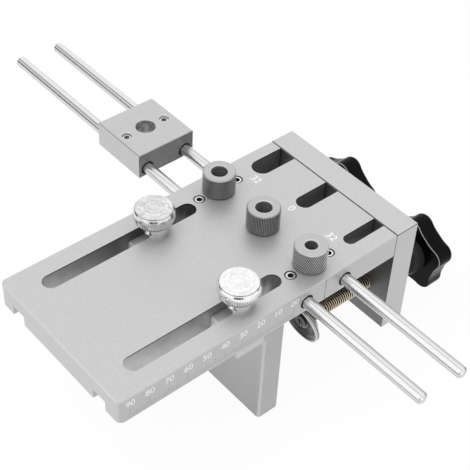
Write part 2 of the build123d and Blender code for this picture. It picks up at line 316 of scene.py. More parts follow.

# Milled walls of the slots, painted in shade that deepens away from the free end and more in the
# far slot, with a cloudy smear by the cutter; the windows' walls painted in shade, and a painted
# shade line under the rims of both.
near_side = below(tree, at["Y"], 0.0)
slot_shade_and_smear = blend_colours(tree, spread(tree, at["X"], *SLOT_SHADE_X),
                         grey_between(tree, near_side, 192, 214),
                         grey_between(tree, near_side, 112, 176))
smeared = spread(tree, stain(tree, 7.0), 0.4, 0.7, 0.0, 0.2)
slot_shade_and_smear = blend_colours(tree, smeared, slot_shade_and_smear, grey(84))
colour = paint(tree, shader, colour, overlap(tree, upright, in_slot), slot_shade_and_smear)
colour = paint(tree, shader, colour, overlap(tree, upright, in_window), grey(140))
rim = overlap(tree, above(tree, at["Z"], PLATE_TOP - RIM_SHADE_LINE), upright,
              either(tree, in_slot, in_window))
colour = paint(tree, shader, colour, rim, grey(72))

# Painted highlights on filed edges: the free end's upper one and the near side's lower one.
end_edge_highlight = overlap(tree, above(tree, at["Z"], PLATE_TOP - EDGE_BREAK),
                    below(tree, at["X"], FREE_END_X + EDGE_BREAK))
bottom_edge_highlight = overlap(tree, below(tree, at["Z"], BOTTOM_BREAK),
                       below(tree, at["Facing Y"], -0.5))
bright = math_node(tree, "MULTIPLY", either(tree, end_edge_highlight, bottom_edge_highlight), 0.7)
colour = paint(tree, shader, colour, bright, grey(238))

# Unlit holes of the set screws and rods, and the joint with the end plate.
below_top = below(tree, at["Z"], PLATE_TOP - SKIN)
screw_mouth = overlap(tree, below_top,
                      near_point(tree, side_x, side_y, ROD_X, SET_SCREW_Y, SCREW_MOUTH_R))
rod_hole_shade = overlap(tree, below(tree, side_y, PLATE_FAR_Y - SKIN),
                    near_point(tree, side_x, at["Z"], ROD_X, ROD_Z, ROD_MOUTH_R))
joint = overlap(tree, above(tree, at["X"], CLAMP_END_X - JOINT_LINE), below_top)
paint(tree, shader, colour, either(tree, screw_mouth, rod_hole_shade, joint), grey(40))
dress("base_plate", plate_metal)


# ---- engraving on the base plate ---------------------------------------------
# Scale and bush marks cut by laser, which leaves the aluminium white and dull.
# Ticks every millimetre from the bottom edge, a number each ten, a scribed zero line.
MARK_PROUD = 0.03
SCALE_ZERO_X = -19.6         # tick numbered 00
SCALE_TENS = 9
TICK_FOOT = 0.6
TICK_HALF_WIDTH = 0.09
LONG_TICK, MIDDLE_TICK, SHORT_TICK = 6.2, 4.6, 3.2
NUMBER_HEIGHT = 3.6
NUMBER_SHIFT = 0.3           # numbers sit a little past their ticks
NUMBER_Z = 9.6
LABEL_HEIGHT = 4.2
SIZE_PER_HEIGHT = 1.35       # type size over the height of its digits
BUSH_LABELS = (("far", "32", 18.9, 26.7), ("centre", "0", 18.6, 0.4), ("near", "32", 20.0, -25.4))
ZERO_LINE_X, ZERO_LINE_Z = (-0.76, -0.46), (0.3, 12.4)
scene = bpy.context.scene


def laser_mark_material(name, low, high):
    """Frosted track of the laser, with a fine uneven burn between two levels."""
    material, tree, shader = new_material(name, 0.0, 0.75)
    cloud = add_grain(tree, shader, grain=0.12, cloud=1.5, depth=0.02, strength=0.4)
    paint(tree, shader, grey(low), noise_spread(tree, cloud), grey(high))
    return material


def link_mesh(name, mesh, material):
    """Object in the scene for a mesh, with its material."""
    mesh.materials.append(material)
    piece = bpy.data.objects.new(name, mesh)
    scene.collection.objects.link(piece)
    return piece


def mesh_object(name, vertices, faces, material):
    """Object in the scene from vertices in millimetres and faces."""
    mesh = bpy.data.meshes.new(name)
    mesh.from_pydata([[value * MM for value in vertex] for vertex in vertices], [], faces)
    return link_mesh(name, mesh, material)


def engraved_text(name, words, height, place, angle, axis, material):
    """Thin lettering centred on a place, turned about one axis, as a mesh."""
    curve = bpy.data.curves.new(name, "FONT")
    curve.body = words
    curve.size = height * MM * SIZE_PER_HEIGHT
    curve.align_x = "CENTER"
    curve.align_y = "CENTER"
    curve.extrude = MARK_PROUD * MM
    curve.resolution_u = 6
    text = bpy.data.objects.new(name, curve)
    scene.collection.objects.link(text)
    bpy.context.view_layer.update()
    mesh = bpy.data.meshes.new_from_object(text)
    bpy.data.objects.remove(text)
    mesh.transform(Matrix.Translation(Vector(place) * MM)
                   @ Matrix.Rotation(math.radians(angle), 4, axis))
    return link_mesh(name, mesh, material)


def side_bars(name, spans, material):
    """One mesh of thin bars on the plate's near side; each span is (x, x, z, z)."""
    vertices, faces = [], []
    for x_low, x_high, z_low, z_high in spans:
        start = len(vertices)
        vertices += [(x, y, z) for x in (x_low, x_high)
                     for y in (PLATE_NEAR_Y - MARK_PROUD, PLATE_NEAR_Y + MARK_PROUD)
                     for z in (z_low, z_high)]
        faces += [[start + corner for corner in quad] for quad in
                  ((0, 1, 3, 2), (4, 6, 7, 5), (0, 4, 5, 1),
                   (2, 3, 7, 6), (0, 2, 6, 4), (1, 5, 7, 3))]
    return mesh_object(name, vertices, faces, material)


laser_mark = laser_mark_material("laser_mark", 236, 252)
# Ticks painted grey as shade in their engraved lines.
tick_shade = laser_mark_material("tick_shade", 150, 176)

ticks = []
for step in range(SCALE_TENS * 10 + 1):
    x = SCALE_ZERO_X - step
    length = LONG_TICK if step % 10 == 0 else MIDDLE_TICK if step % 5 == 0 else SHORT_TICK
    ticks.append((x - TICK_HALF_WIDTH, x + TICK_HALF_WIDTH, TICK_FOOT, TICK_FOOT + length))
scale_ticks = side_bars("scale_ticks", ticks, tick_shade)
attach(scale_ticks, "base")

for ten in range(SCALE_TENS + 1):
    number = "00" if ten == 0 else str(ten * 10)
    place = (SCALE_ZERO_X - ten * 10 + NUMBER_SHIFT, PLATE_NEAR_Y, NUMBER_Z)
    digits = engraved_text(f"scale_number_{number}", number, NUMBER_HEIGHT,
                           place, 90, "X", laser_mark)
    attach(digits, "base")

for label, words, x, y in BUSH_LABELS:
    digits = engraved_text(f"bush_label_{label}", words, LABEL_HEIGHT,
                           (x, y, PLATE_TOP), -90, "Z", laser_mark)
    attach(digits, "base")

# Zero line painted dark as shade in its scribed groove, broken by a cloudy stain.
scribed_line, tree, shader = new_material("scribed_line", 0.3, 0.6)
paint(tree, shader, grey(44), spread(tree, stain(tree, 1.2), 0.35, 0.6), grey(130))
zero_line = side_bars("zero_line", [ZERO_LINE_X + ZERO_LINE_Z], scribed_line)
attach(zero_line, "base")


# ---- end plate ---------------------------------------------------------------
# The same blasted aluminium, screwed flush to the end of the base plate.
# Two socket head screws hold it from outside; the clamp screws run in its two holes.
END_EDGE_BREAK = 0.38
INNER_TOP = PLATE_TOP - 0.5  # the inner face ends here, under the joint
INNER_SHADE_Z = (box_mm("end_plate")[0][2], -4.0)     # it darkens upward between these
WINDOW_VIEW_Z = -0.2         # above this it is seen through the windows


def zinc_steel(name, level, roughness):
    """Zinc plated screw steel, slightly mottled, bright on its edges."""
    material, tree, shader = new_material(name, 0.9, roughness)
    cloud = add_grain(tree, shader, grain=0.4, cloud=2.5, depth=0.01, strength=0.3)
    wear = use_group(tree, edge_wear, Width_mm=0.15)
    body = grey_between(tree, noise_spread(tree, cloud), level - 10, level + 8)
    paint(tree, shader, body, wear.outputs["Edge"], grey(240))
    return material


end_metal, tree, shader, colour, at = blasted_aluminium("blasted_end_plate", 206)
# Painted shade on the inner face under the base plate, darker upward, and a flat painted shade
# where it shows through the windows.
inner = overlap(tree, below(tree, at["Facing X"], -0.9), below(tree, at["Z"], INNER_TOP))
inner_shade = grey_between(tree, spread(tree, at["Z"], *INNER_SHADE_Z), 126, 88)
inner_shade = blend_colours(tree, above(tree, at["Z"], WINDOW_VIEW_Z), inner_shade, grey(104))
colour = paint(tree, shader, colour, inner, inner_shade)
# Dark joint along the edge meeting the base plate, and painted shade along the near top edge break.
top_edge = above(tree, at["Z"], PLATE_TOP - END_EDGE_BREAK)
broken = either(tree, below(tree, at["X"], CLAMP_END_X + END_EDGE_BREAK),
                below(tree, at["Y"], PLATE_NEAR_Y + 0.2))
paint(tree, shader, colour, overlap(tree, top_edge, broken), grey(84))
dress("end_plate", end_metal)
dress("end_plate_screws", zinc_steel("zinc_screw_steel", 196, 0.3))


# ---- guide rods and their set screws -----------------------------------------
# Ground steel rod, 6 mm, polished along its length, with rounded ends.
# Four socket set screws in the plate bear on the rods from above.
ROD_REFLECTION_TONES = ((0.0, 214), (0.11, 208), (0.16, 196), (0.18, 168), (0.2, 204), (0.25, 222),
             (0.285, 252), (0.303, 176), (0.32, 236), (0.385, 254), (0.42, 238), (0.44, 162),
             (0.455, 214), (0.5, 222), (0.515, 170), (0.53, 216), (0.56, 226), (0.75, 206),
             (1.0, 214))     # painted reflections: grey levels round the rod, for each part of a turn from +X
ROD_FAR_REFLECTION_TONES = ((0.0, 206), (0.1, 212), (0.16, 226), (0.28, 234), (0.305, 226), (0.326, 116),
                 (0.348, 200), (0.39, 214), (0.46, 226), (0.485, 206), (0.52, 222),
                 (0.56, 232), (0.75, 206), (1.0, 206))
ROD_FAR_Y = (50.0, 95.0)     # the first set of tones gives way to the second between these
SET_SCREW_R = 2.5
SCREW_SHADE_RING_TONES = ((0.0, 190), (0.3, 90), (0.5, 60), (0.56, 130), (0.64, 246), (0.8, 250),
               (0.88, 150), (0.92, 60), (1.0, 60))


def make_drawn_streaks():
    """Long faint streaks along Y, as drawing and polishing leave on a rod."""
    group, given, out = new_group("drawn_streaks", [("Across mm", 0.6), ("Along mm", 400.0)],
                                  ["Streak"])
    place = group.nodes.new("ShaderNodeTexCoord").outputs["Object"]
    across = math_node(group, "DIVIDE", 1 / MM, given.outputs["Across mm"])
    along = math_node(group, "DIVIDE", 1 / MM, given.outputs["Along mm"])
    scale = add(group, "ShaderNodeCombineXYZ", [("X", across), ("Y", along), ("Z", across)])
    stretched = add(group, "ShaderNodeVectorMath",
                    [(0, place), (1, scale.outputs[0])], operation="MULTIPLY")
    noise = add(group, "ShaderNodeTexNoise",
                [("Vector", stretched.outputs[0]), ("Scale", 1.0), ("Detail", 3.0)])
    group.links.new(noise.outputs["Fac"], out.inputs["Streak"])
    return group


def make_turn_round_rod():
    """Part of a turn round an axis along Y at which a point lies, 0 at +X."""
    labels = ("X mm", "Z mm", "Centre X mm", "Centre Z mm")
    group, given, out = new_group("turn_round_rod", [(label, 0.0) for label in labels], ["Turn"])
    x = math_node(group, "SUBTRACT", given.outputs["X mm"], given.outputs["Centre X mm"])
    z = math_node(group, "SUBTRACT", given.outputs["Z mm"], given.outputs["Centre Z mm"])
    turn = math_node(group, "DIVIDE", math_node(group, "ARCTAN2", z, x), math.tau)
    group.links.new(math_node(group, "FRACT", math_node(group, "ADD", turn, 1.0)),
                    out.inputs["Turn"])
    return group


drawn_streaks = make_drawn_streaks()
turn_round_rod = make_turn_round_rod()


def tones(tree, value, stops):
    """Grey from a ramp of (place, level) stops."""
    ramp = add(tree, "ShaderNodeValToRGB", [(0, value)])
    elements = ramp.color_ramp.elements
    for place, _ in stops[1:-1]:
        elements.new(place)
    for element, (_, level) in zip(elements, stops):
        element.color = grey(level)
    return ramp.outputs["Color"]


def polished_rod_material(name, centre_x):
    """Bright ground steel: painted reflections in lengthwise bands round the rod, over fine drawn
    streaks.
    """
    material, tree, shader = new_material(name, 0.95, 0.2)
    at = use_group(tree, place_and_facing).outputs
    turn = use_group(tree, turn_round_rod, Centre_X_mm=centre_x, Centre_Z_mm=ROD_Z)
    tree.links.new(at["X"], turn.inputs["X mm"])
    tree.links.new(at["Z"], turn.inputs["Z mm"])
    streak = use_group(tree, drawn_streaks, Across_mm=0.3, Along_mm=60.0).outputs["Streak"]
    waver = noise_spread(tree, streak, -0.003, 0.003)
    band = math_node(tree, "ADD", turn.outputs["Turn"], waver)
    # Painted reflections in bands round the rod, one set near the plate giving way to another
    # farther out.
    paint(tree, shader, tones(tree, band, ROD_REFLECTION_TONES), spread(tree, at["Y"], *ROD_FAR_Y),
          tones(tree, band, ROD_FAR_REFLECTION_TONES))
    tree.links.new(noise_spread(tree, streak, 0.18, 0.28), shader.inputs["Roughness"])
    return material


def set_screw_material(name, node, centre_y, socket_painted_level):
    """Bright screw top between painted shade rings at the socket's mouth and the screw's edge, over
    socket walls painted a given grey, with a paler floor.
    """
    material, tree, shader = new_material(name, 0.9, 0.24)
    at = use_group(tree, place_and_facing).outputs
    cloud = add_grain(tree, shader, grain=0.2, cloud=1.2, depth=0.01, strength=0.3)
    side_x = math_node(tree, "ABSOLUTE", at["X"])
    side_y = math_node(tree, "ABSOLUTE", at["Y"])
    out = distance(tree, side_x, side_y, ROD_X, centre_y)
    ringed = tones(tree, math_node(tree, "DIVIDE", out, SET_SCREW_R), SCREW_SHADE_RING_TONES)
    rim = blend_colours(tree, noise_spread(tree, cloud, 0.0, 0.2), ringed, grey(200))
    screw_top = box_mm(node)[1][2]
    # Socket walls painted a given grey: dark as shade in the plate's screws, pale as light in the
    # block's.
    socket = overlap(tree, below(tree, at["Z"], screw_top - 0.1), upright_faces(tree, at))
    paint(tree, shader, rim, socket, grey(socket_painted_level))
    return material


dress("guide_rod_left", polished_rod_material("polished_rod_left", -ROD_X))
dress("guide_rod_right", polished_rod_material("polished_rod_right", ROD_X))
dress("rod_set_screws",
      set_screw_material("bright_rod_screw", "rod_set_screws", SET_SCREW_Y, 96))


# ---- guide block -------------------------------------------------------------
# Small aluminium block that slides on both rods and is locked by two set screws.
# Its plain bore takes the locating pin; the faces across the rods are milled.
BLOCK_Y = middle("guide_block")[1]
(BLOCK_LEFT_X, _, _), (_, BLOCK_FAR_Y, BLOCK_TOP) = box_mm("guide_block")
PIN_BORE_R = 5.2             # a little more than the bore, to take in its wall

block_metal, tree, shader, colour, at = blasted_aluminium("blasted_guide_block", 201)
side_x = math_node(tree, "ABSOLUTE", at["X"])
off_middle = math_node(tree, "ABSOLUTE", math_node(tree, "SUBTRACT", at["Y"], BLOCK_Y))
to_milled = BLOCK_FAR_Y - BLOCK_Y - SKIN
# Milled faces across the rods, streaked, painted darker as a dark reflection.
streak = use_group(tree, drawn_streaks, Across_mm=0.4, Along_mm=30.0).outputs["Streak"]
milled_reflection_grey = grey_between(tree, noise_spread(tree, streak), 130, 148)
colour = paint(tree, shader, colour, above(tree, off_middle, to_milled), milled_reflection_grey)

below_top = below(tree, at["Z"], BLOCK_TOP - 0.1)
pin_bore = overlap(tree, below_top, near_point(tree, at["X"], at["Y"], 0.0, BLOCK_Y, PIN_BORE_R))
bore_grey = grey_between(tree, spread(tree, stain(tree, 2.4), 0.4, 0.65), 196, 142)
colour = paint(tree, shader, colour, pin_bore, bore_grey)
screw_mouth = overlap(tree, below_top,
                      near_point(tree, side_x, at["Y"], ROD_X, BLOCK_Y, SCREW_MOUTH_R))
colour = paint(tree, shader, colour, screw_mouth, grey(226))
# Painted shade in the rod holes.
rod_hole_shade = overlap(tree, below(tree, off_middle, to_milled),
                    near_point(tree, side_x, at["Z"], ROD_X, ROD_Z, ROD_MOUTH_R))
colour = paint(tree, shader, colour, rod_hole_shade, grey(60))
end_line = overlap(tree, above(tree, at["Z"], BLOCK_TOP - EDGE_BREAK),
                   below(tree, at["X"], BLOCK_LEFT_X + EDGE_BREAK))
paint(tree, shader, colour, end_line, grey(150))
dress("guide_block", block_metal)
dress("guide_block_screws",
      set_screw_material("bright_block_screw", "guide_block_screws", BLOCK_Y, 226))


# ---- drill bushes ------------------------------------------------------------
# Hardened steel bushes, turned, with a knurled head that is pulled up by hand.
# The far one has a very fine knurl, the centre one a straight and the near a diamond one.
BUSH_HEAD_R = 8.0
BUSH_HEAD_EDGE = 0.5
BUSH_SHANK_R = 6.0
BUSH_SHANK_EDGE = 0.3
BUSH_MOUTH_EDGE = 0.35
BUSH_MOUTH_RING = (0.05, 0.6)      # paler ring round the bore, outward from its wall
BUSH_FOOT_SHADOW = (0.4, 0.9)        # painted shadow at the foot of the head, fading upward
BUSH_TOP = box_mm("drill_bush_centre")[1][2]
BORE_TONES = ((0.0, 110), (0.4, 130), (0.6, 214), (1.0, 232))
DIAMOND_LEAD = 1.7           # height in which a diamond groove moves on by one tooth


def make_turned_rings():
    """Fine rings round a vertical axis, as a lathe tool leaves them."""
    group, given, out = new_group(
        "turned_rings", [("Centre X mm", 0.0), ("Centre Y mm", 0.0), ("Pitch mm", 0.35)],
        ["Ring", "Radius mm"])
    parts = add(group, "ShaderNodeSeparateXYZ", [(0, place_mm(group))]).outputs
    radius = distance(group, parts["X"], parts["Y"],
                      given.outputs["Centre X mm"], given.outputs["Centre Y mm"])
    count = math_node(group, "DIVIDE", radius, given.outputs["Pitch mm"])
    noise = add(group, "ShaderNodeTexNoise",
                [("W", count), ("Scale", 1.0), ("Detail", 2.0)], noise_dimensions="1D")
    group.links.new(noise.outputs["Fac"], out.inputs["Ring"])
    group.links.new(radius, out.inputs["Radius mm"])
    return group


turned_rings = make_turned_rings()


def bush_steel(name, centre_y, bore, side_level, top_level, groove_level):
    """Turned bush: rings on the top face, darker side, painted shade in the knurl's grooves and a
    painted shadow at the head's foot.
    """
    material, tree, shader = new_material(name, 0.85, 0.34)
    at = use_group(tree, place_and_facing).outputs
    rings = use_group(tree, turned_rings, Centre_Y_mm=centre_y, Pitch_mm=0.42).outputs
    side = grey_between(tree, noise_spread(tree, stain(tree, 3.0)), side_level - 8, side_level + 8)
    groove = add(tree, "ShaderNodeAttribute", attribute_name="groove").outputs["Fac"]
    # Painted shade in the knurl's grooves.
    side = blend_colours(tree, spread(tree, groove, 0.15, 0.85), side, grey(groove_level))
    # Painted shadow at the foot of the head.
    foot = spread(tree, at["Z"], *(PLATE_TOP + rise for rise in BUSH_FOOT_SHADOW), 0.8, 0.0)
    side = blend_colours(tree, foot, side, grey(34))
    bore_noise = add(tree, "ShaderNodeTexNoise",
                     [("W", at["Z"]), ("Scale", 0.9), ("Detail", 3.0)], noise_dimensions="1D")
    side = blend_colours(tree, below(tree, rings["Radius mm"], bore + 0.2), side,
                         tones(tree, bore_noise.outputs["Fac"], BORE_TONES))
    top = grey_between(tree, spread(tree, rings["Ring"], 0.35, 0.65), top_level - 18, top_level + 6)
    faced = blend_colours(tree, spread(tree, at["Facing Z"], 0.5, 0.8), side, top)
    ring = inside(tree, rings["Radius mm"], *(bore + width for width in BUSH_MOUTH_RING))
    mouth = overlap(tree, ring, above(tree, at["Facing Z"], 0.5))
    paint(tree, shader, faced, mouth, grey(212))
    add_bump(tree, shader, rings["Ring"], 0.015, 0.4)
    return material


def lathe(name, centre, outline, segments, material, knurl):
    """Turned piece round a vertical axis through centre (x, y), all in millimetres.
    The outline is (radius, height, knurl depth) points; knurl(turn, height) is 0 on a crest
    and 1 in a groove, with turn from 0 to 1 round the piece. A radius of 0 closes an end."""
    vertices, faces, rows, grooves = [], [], [], []
    for radius, height, depth in outline:
        row = []
        for step in range(segments if radius else 1):
            turn = step / segments
            groove = knurl(turn, height) if depth else 0.0
            reach = radius - depth * groove
            row.append(len(vertices))
            vertices.append((centre[0] + reach * math.cos(turn * math.tau),
                             centre[1] + reach * math.sin(turn * math.tau), height))
            grooves.append(groove)
        rows.append(row)
    for low, high in zip(rows, rows[1:]):
        for step in range(segments):
            after = (step + 1) % segments
            quad = [low[step % len(low)], low[after % len(low)],
                    high[after % len(high)], high[step % len(high)]]
            face = list(dict.fromkeys(quad))
            if len(face) > 2:
                faces.append(face)
    piece = mesh_object(name, vertices, faces, material)
    groove_depth = piece.data.attributes.new("groove", "FLOAT", "POINT")
    groove_depth.data.foreach_set("value", grooves)
    return piece


def smooth_by_angle(piece, degrees):
    """Smooth shading with creases kept sharper than the given angle."""
    piece.data.shade_smooth()
    piece.data.set_sharp_from_angle(angle=math.radians(degrees))


def wave(t):
    """Triangle wave: 0 at whole numbers, 1 half way between."""
    return 1 - abs(2 * (t % 1.0) - 1)


def straight_knurl(teeth):
    """Grooves along the axis."""
    return lambda turn, height: 1 - wave(turn * teeth)


def diamond_knurl(teeth):
    """Grooves that cross each other."""
    return lambda turn, height: 1 - min(wave(turn * teeth + height / DIAMOND_LEAD),
                                        wave(turn * teeth - height / DIAMOND_LEAD))


def bush_outline(bore, knurl_depth, rings):
    """Shank, head with its knurled rings, and bore, from the foot round to the foot."""
    knurl_foot = PLATE_TOP + BUSH_HEAD_EDGE
    knurl_height = BUSH_TOP - PLATE_TOP - 2 * BUSH_HEAD_EDGE
    outline = [(bore, 0.0, 0), (BUSH_SHANK_R - BUSH_SHANK_EDGE, 0.0, 0),
               (BUSH_SHANK_R, BUSH_SHANK_EDGE, 0), (BUSH_SHANK_R, PLATE_TOP, 0),
               (BUSH_HEAD_R - BUSH_HEAD_EDGE, PLATE_TOP, 0)]
    outline += [(BUSH_HEAD_R, knurl_foot + knurl_height * step / rings, knurl_depth)
                for step in range(rings + 1)]
    outline += [(BUSH_HEAD_R - BUSH_HEAD_EDGE, BUSH_TOP, 0), (bore + BUSH_MOUTH_EDGE, BUSH_TOP, 0),
                (bore, BUSH_TOP - BUSH_MOUTH_EDGE, 0), (bore, 0.0, 0)]
    return outline


# Bore radius, knurl with its teeth, depth, points on a tooth and rings up the head, and the grey
# levels of side, top and grooves, the grooves' grey a painted shade.
BUSHES = {"far": (4.0, straight_knurl, 96, 0.05, 4, 12, (130, 200, 112)),
          "centre": (4.0, straight_knurl, 64, 0.25, 8, 12, (160, 198, 70)),
          "near": (3.0, diamond_knurl, 50, 0.35, 12, 84, (246, 200, 66))}
for label, (bore, knurl, teeth, depth, tooth_points, rings, levels) in BUSHES.items():
    y = middle(f"drill_bush_{label}")[1]
    steel = bush_steel(f"bush_steel_{label}", y, bore, *levels)
    bush = lathe(f"knurled_bush_{label}", (0.0, y), bush_outline(bore, depth, rings),
                 teeth * tooth_points, steel, knurl(teeth))
    smooth_by_angle(bush, 25)
    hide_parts(f"drill_bush_{label}")
    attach(bush, f"bush_{label}")


# ---- sliding stop ------------------------------------------------------------
# L-shaped bracket milled from the solid, blasted like the plate, with rounded corners.
# Two keys on it run in the long slots and keep it square.
WALL_TOP = -5.0
BACK_SHADE_Z = (-58.0, -6.0)       # the wall's back grows paler upward between these
FLANGE_EDGE_Z = (-4.2, -0.4)
FLANGE_EDGE_X = -37.0        # the flange's near edge shows from here to the free end

stop_metal, tree, shader, colour, at = blasted_aluminium("blasted_stop", 190)
# Painted light on the keys, palest on their faces toward the free end.
key_painted_light = grey_between(tree, below(tree, at["Facing X"], -0.5), 226, 250)
colour = paint(tree, shader, colour, above(tree, at["Z"], 0.05), key_painted_light)
# Painted shade on the wall's back, deepening downward.
back = overlap(tree, below(tree, at["Z"], WALL_TOP), below(tree, at["Facing X"], -0.9))
back_shade = grey_between(tree, spread(tree, at["Z"], *BACK_SHADE_Z), 170, 186)
colour = paint(tree, shader, colour, back, back_shade)
# Painted highlight on the rounded corner between back and near face.
corner = overlap(tree, spread(tree, at["Facing X"], -0.97, -0.7),
                 spread(tree, at["Facing X"], -0.15, -0.5), below(tree, at["Facing Y"], -0.15))
colour = paint(tree, shader, colour, corner, grey(204))
# Painted highlight along the flange's near face.
ledge_highlight = overlap(tree, inside(tree, at["Z"], *FLANGE_EDGE_Z), below(tree, at["Facing Y"], -0.6),
                below(tree, at["X"], FLANGE_EDGE_X))
paint(tree, shader, colour, ledge_highlight, grey(202))
dress("stop_bracket", stop_metal)


# ---- thumbscrews -------------------------------------------------------------
# Turned steel screws, bright nickel plated, with a fluted bowl, a round rim and domed top.
# Their studs go down through the keys of the stop and clamp it to the plate.
THUMB_X = middle("thumbscrew_near")[0]
THUMB_FOOT, THUMB_TOP = (corner[2] for corner in box_mm("thumbscrew_near"))
STUD_R = 3.0
STUD_EDGE = 0.4
SHOULDER_R = 6.0
HEAD_R = 10.0
HEAD_FOOT = 16.5
HEAD_WIDEST = 22.2           # height at which the bowl meets the rim
BOWL_ROUND = 7.4
RIM_ROUND = 4.5
DOME_ROUND = 106.0
FLUTES = 56
FLUTE_POINTS = 6
FLUTE_DEPTH = 0.24
RING_LINE = (8.74, 9.06)     # radii of the painted shade in the turned line between rim and dome
RING_LINE_FOOT = 24.0
UNDER_SHADE_FADE = 0.45            # height over which the painted shade under the head ends


def nickel_material(name, centre_y, dull, shine):
    """Mirror nickel over turning marks, broken by small dents, between two levels, with painted
    shade in the flutes, under the head and in the turned line.
    """
    material, tree, shader = new_material(name, 1.0, 0.16)
    at = use_group(tree, place_and_facing).outputs
    rings = use_group(tree, turned_rings, Centre_X_mm=THUMB_X, Centre_Y_mm=centre_y,
                      Pitch_mm=0.8).outputs
    place = tree.nodes.new("ShaderNodeTexCoord").outputs["Object"]
    dents = add(tree, "ShaderNodeTexNoise",
                [("Vector", place), ("Scale", 420.0), ("Detail", 2.0), ("Distortion", 0.6)])
    marks = math_node(tree, "MULTIPLY", rings["Ring"], dents.outputs["Fac"])
    bright = grey_between(tree, spread(tree, marks, 0.12, 0.34), dull, shine)
    groove = add(tree, "ShaderNodeAttribute", attribute_name="groove").outputs["Fac"]
    # Painted shade in the flutes.
    fluted = blend_colours(tree, spread(tree, groove, 0.3, 0.9), bright, grey(186))
    # Painted shade under the head, outside the shoulder.
    under = overlap(tree, spread(tree, at["Z"], HEAD_FOOT + UNDER_SHADE_FADE, HEAD_FOOT),
                    above(tree, rings["Radius mm"], SHOULDER_R + 0.2))
    shaded = blend_colours(tree, under, fluted, grey(96))
    # Painted shade in the turned line between rim and dome.
    line = overlap(tree, inside(tree, rings["Radius mm"], *RING_LINE),
                   above(tree, at["Z"], RING_LINE_FOOT))
    paint(tree, shader, shaded, line, grey(176))
    rough = noise_spread(tree, dents.outputs["Fac"], 0.1, 0.26)
    tree.links.new(rough, shader.inputs["Roughness"])
    add_bump(tree, shader, marks, 0.07, 0.4)
    return material


def turned_arc(centre, radius, start, end, steps, depth=0.0):
    """Round stretch of a lathe outline about (radius, height), angles in degrees, 0 outward."""
    angles = [math.radians(start + (end - start) * step / steps) for step in range(steps + 1)]
    return [(centre[0] + radius * math.cos(angle), centre[1] + radius * math.sin(angle), depth)
            for angle in angles]


# Stud, shoulder and underside; fluted bowl; round rim; turned line; dome.
thumb_outline = [(0, THUMB_FOOT, 0), (STUD_R - STUD_EDGE, THUMB_FOOT, 0),
                 (STUD_R, THUMB_FOOT + STUD_EDGE, 0), (STUD_R, PLATE_TOP, 0),
                 (SHOULDER_R, PLATE_TOP, 0), (SHOULDER_R, HEAD_FOOT - 0.2, 0),
                 (6.9, HEAD_FOOT - 0.2, 0), (7.3, HEAD_FOOT, 0)]
thumb_outline += turned_arc((HEAD_R - BOWL_ROUND, HEAD_WIDEST), BOWL_ROUND, -46, 0, 7, FLUTE_DEPTH)
thumb_outline += turned_arc((HEAD_R - RIM_ROUND, HEAD_WIDEST), RIM_ROUND, 4, 36, 5)
thumb_outline += [(8.98, 25.02, 0), (8.86, 25.04, 0), (8.72, 25.28, 0)]
thumb_outline += [(radius, THUMB_TOP - radius ** 2 / (2 * DOME_ROUND), 0)
                  for radius in (8.5, 6.4, 4.2, 2.1, 0)]
# Near and far heads are lit and shaded copies: the far one is painted darker as shade.
for label, dull, shine in (("near", 234, 255), ("far", 196, 240)):
    y = middle(f"thumbscrew_{label}")[1]
    nickel = nickel_material(f"nickel_{label}", y, dull, shine)
    head = lathe(f"fluted_thumbscrew_{label}", (THUMB_X, y), thumb_outline,
                 FLUTES * FLUTE_POINTS, nickel, straight_knurl(FLUTES))
    smooth_by_angle(head, 30)
    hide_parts(f"thumbscrew_{label}")
    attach(head, f"thumbscrew_{label}")


# ---- clamp screws ------------------------------------------------------------
# M8 studs with a rolled thread, yellow zinc plated, screwed through the end plate.
# The knob is moulded on one end; the other end is tapped for the pad's screw.
CLAMP_Z = -30.3
THREAD_PITCH = 1.25
THREAD_CREST_R = 4.0
THREAD_ROOT_R = 3.33
THREAD_RUNOUT = 1.0
THREAD_SEGMENTS = 36
THREAD_FORM = ((0.0, 0.0), (0.18, 0.0), (0.44, 1.0), (0.56, 1.0), (0.82, 0.0))
ZINC_CREST_HIGHLIGHT = (1.0, 0.9, 0.72, 1.0)
GOLDEN_ZINC = (0.07, 0.044, 0.024, 1.0)
DARK_ZINC = (0.022, 0.013, 0.007, 1.0)


def thread_zinc_material():
    """Yellow zinc: crests painted pale as a highlight, flanks and roots painted dark golden as
    shade.
    """
    material, tree, shader = new_material("yellow_zinc", 0.9, 0.3)
    cloud = add_grain(tree, shader, grain=0.3, cloud=3.0, depth=0.015, strength=0.4)
    # Painted shade: flanks and roots dark golden, varying at random.
    flank = blend_colours(tree, noise_spread(tree, cloud), DARK_ZINC, GOLDEN_ZINC)
    height = add(tree, "ShaderNodeAttribute", attribute_name="crest").outputs["Fac"]
    # Painted highlight on the crests.
    paint(tree, shader, flank, spread(tree, height, 0.45, 0.9), ZINC_CREST_HIGHLIGHT)
    return material


